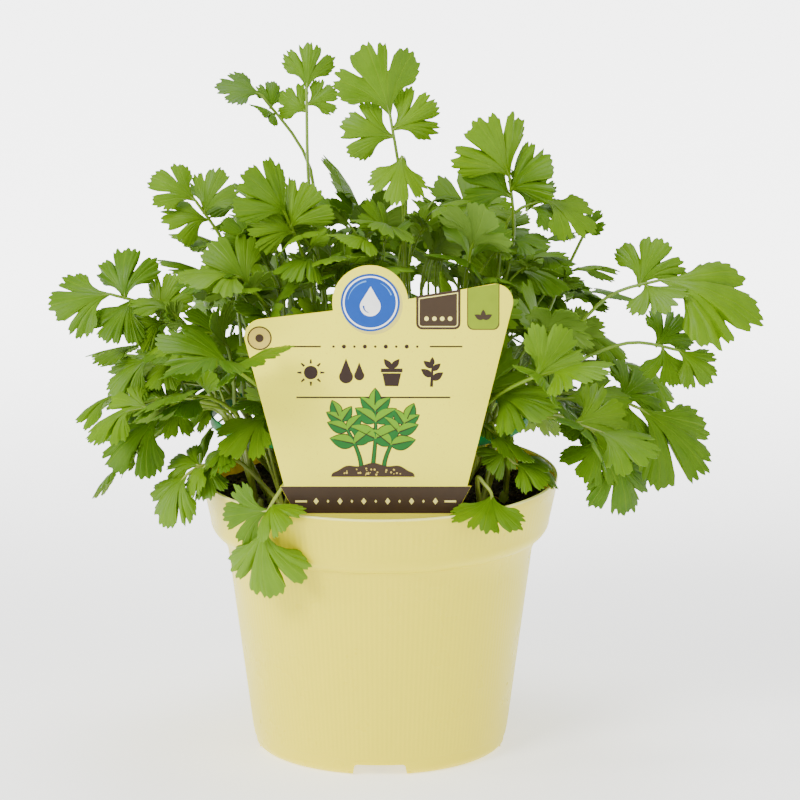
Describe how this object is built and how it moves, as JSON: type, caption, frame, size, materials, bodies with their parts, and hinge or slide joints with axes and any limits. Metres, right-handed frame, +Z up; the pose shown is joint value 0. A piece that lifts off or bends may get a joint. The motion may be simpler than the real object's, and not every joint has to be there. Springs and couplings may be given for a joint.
{
  "type": "potted coriander plant",
  "caption": "Bushy herb with toothed fan-shaped leaflets on thin stalks, growing in a round plastic nursery pot with a card label in the soil and a band round the stems.",
  "frame": {"origin": "middle of the pot's flat base, on the surface that it stands on", "axes": "+Z up along the pot's axis, -Y towards the viewer of the label's printed side, +X to the right of that side"},
  "size_m": [0.2608, 0.2009, 0.264],
  "materials": {
    "pot": "satin, finely ribbed, slightly translucent moulded plastic",
    "soil": "damp crumbly potting soil of peat and wood fibre",
    "label": "printed matt coated card",
    "support_band": "smooth green plastic band",
    "plant": "thin living leaf with a soft gloss above and a paler matt underside"
  },
  "bodies": {
    "root": {"pot": "pot", "soil": "soil", "label": "label", "support_band": "support_band", "plant_01": "plant", "plant_02": "plant", "plant_03": "plant", "plant_04": "plant", "plant_05": "plant", "plant_06": "plant", "plant_07": "plant", "plant_08": "plant", "plant_09": "plant", "plant_10": "plant", "plant_11": "plant", "plant_12": "plant", "plant_13": "plant", "plant_14": "plant", "plant_15": "plant", "plant_16": "plant", "plant_17": "plant", "plant_18": "plant", "plant_19": "plant", "plant_20": "plant", "plant_21": "plant", "plant_22": "plant", "plant_23": "plant", "plant_24": "plant", "plant_25": "plant"}
  },
  "joints": []
}
